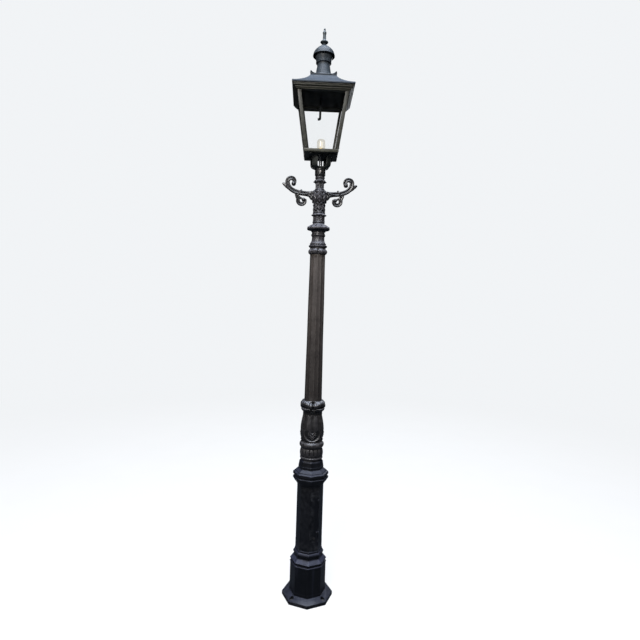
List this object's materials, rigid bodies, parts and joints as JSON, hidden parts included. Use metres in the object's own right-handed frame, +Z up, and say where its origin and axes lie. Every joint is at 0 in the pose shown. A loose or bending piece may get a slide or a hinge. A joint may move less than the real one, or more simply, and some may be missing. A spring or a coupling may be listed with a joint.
{
  "type": "street lamp post",
  "caption": "Cast iron street lamp post with an octagonal pedestal, fluted shaft, scroll ladder arms and a tapered glazed square lantern.",
  "frame": {"origin": "centre of the foot at ground level", "axes": "+Z up along the post; the ladder arms lie along X; the glazed lantern door faces +Y and the service door faces between -Y and +X"},
  "size_m": [0.4676, 0.37, 3.502],
  "materials": {
    "pedestal_iron": "weathered near-black gloss paint on cast iron",
    "shaft_iron": "weathered brown-black paint on cast iron",
    "capital_iron": "weathered grey-black paint on cast iron",
    "arm_iron": "worn black paint on cast iron",
    "lantern_metal": "weathered olive-grey paint on sheet metal",
    "roof_metal": "blue-grey weathered paint on sheet copper",
    "fixing_steel": "dull plated steel",
    "galvanised_steel": "galvanised",
    "brass_fitting": "dull brass",
    "board_wood": "varnished hardwood board",
    "black_plastic": "moulded black plastic",
    "cable_rubber": "matt black sheath",
    "clear_glass": "clear",
    "lamp_glass": "clear",
    "lamp_ceramic": "warm off-white"
  },
  "bodies": {
    "post": {"base_flange": "pedestal_iron", "lower_pedestal": "pedestal_iron", "upper_pedestal": "pedestal_iron", "pedestal_cornice": "pedestal_iron", "gadroon_bowl": "pedestal_iron", "vase": "pedestal_iron", "leaf_collar": "pedestal_iron", "fluted_shaft": "shaft_iron", "shaft_collar": "shaft_iron", "bell_capital": "shaft_iron", "drip_disc": "capital_iron", "ornate_neck": "capital_iron", "arm_boss": "capital_iron", "spigot_collar": "capital_iron", "lantern_frog": "capital_iron", "scroll_arm_left": "arm_iron", "scroll_arm_right": "arm_iron", "anchor_bolt_1": "fixing_steel", "anchor_bolt_2": "fixing_steel", "anchor_bolt_3": "fixing_steel", "anchor_bolt_4": "fixing_steel", "set_screw_front": "fixing_steel", "set_screw_back": "fixing_steel", "door_hinge_pin_lower": "fixing_steel", "door_hinge_pin_upper": "fixing_steel", "lantern_hinge_pin": "fixing_steel", "core_tube": "galvanised_steel", "riser_pipe": "galvanised_steel", "earth_stud": "brass_fitting", "lamp_holder": "brass_fitting", "service_board": "board_wood", "cutout_base": "black_plastic", "supply_cable": "cable_rubber", "lamp_cable": "cable_rubber", "lantern_base_frame": "lantern_metal", "lantern_tray": "lantern_metal", "corner_bar_front_left": "lantern_metal", "corner_bar_front_right": "lantern_metal", "corner_bar_back_left": "lantern_metal", "corner_bar_back_right": "lantern_metal", "lantern_cornice": "lantern_metal", "ceiling_plate": "lantern_metal", "hanger_rod": "lantern_metal", "lantern_roof": "roof_metal", "crown_plate": "roof_metal", "chimney_neck": "roof_metal", "chimney_tube": "roof_metal", "dome_cap": "roof_metal", "finial": "roof_metal", "glass_front": "clear_glass", "glass_left": "clear_glass", "glass_right": "clear_glass", "lamp_glass": "lamp_glass", "lamp_element": "lamp_ceramic"},
    "service_door": {"access_door": "pedestal_iron"},
    "service_door_lock": {"door_lock": "brass_fitting"},
    "fuse_carrier": {"fuse_carrier": "black_plastic"},
    "lantern_door": {"lantern_door_frame": "lantern_metal", "lantern_door_glass": "clear_glass"},
    "lantern_latch": {"lantern_door_latch": "brass_fitting"}
  },
  "joints": [
    {"name": "service_door_hinge", "type": "hinge", "parent": "post", "child": "service_door", "pos_m": [0.05512, -0.06304, 0.4985], "axis": [0, 0, 1], "range_deg": [0, 100]},
    {"name": "service_lock_turn", "type": "hinge", "parent": "service_door", "child": "service_door_lock", "pos_m": [0.02864, -0.06914, 0.376], "axis": [0.3827, -0.9239, 0], "range_deg": [0, 90]},
    {"name": "fuse_carrier_slide", "type": "slide", "parent": "post", "child": "fuse_carrier", "axis": [0.3827, -0.9239, 0], "range_m": [0, 0.025]},
    {"name": "lantern_door_hinge", "type": "hinge", "parent": "post", "child": "lantern_door", "pos_m": [-0.10635, 0.13335, 2.89], "axis": [-0.1439, 0.1439, 0.9791], "range_deg": [0, 100]},
    {"name": "lantern_latch_turn", "type": "hinge", "parent": "lantern_door", "child": "lantern_latch", "pos_m": [0.09838, 0.12728, 2.88], "axis": [0, 0.9894, -0.1454], "range_deg": [0, 90]}
  ]
}
